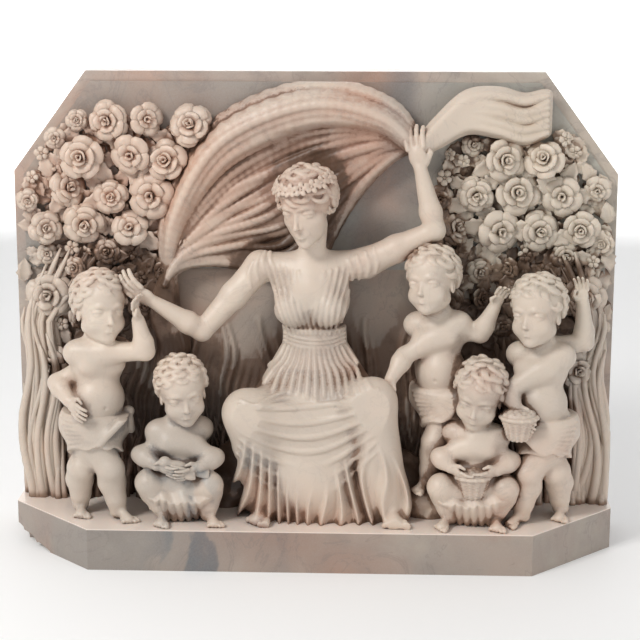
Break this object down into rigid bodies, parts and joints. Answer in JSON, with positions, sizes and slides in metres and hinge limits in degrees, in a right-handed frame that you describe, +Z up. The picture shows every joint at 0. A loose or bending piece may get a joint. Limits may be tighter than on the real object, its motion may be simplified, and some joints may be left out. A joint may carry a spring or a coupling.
{
  "type": "marble relief plaque",
  "caption": "Eight-sided marble slab on a canted base, cut from one block, with a seated lady under a veil, children and rose bushes carved in high relief.",
  "frame": {"origin": "middle of the underside of the base", "axes": "+X along the plaque to the viewer's right, +Y from the carved front to the flat back, +Z up"},
  "size_m": [0.9, 0.258, 0.708],
  "materials": {
    "relief_plaque": "polished on the plain faces and limbs, tooled in the leaves and grass"
  },
  "bodies": {
    "root": {"relief_plaque": "relief_plaque"}
  },
  "joints": []
}
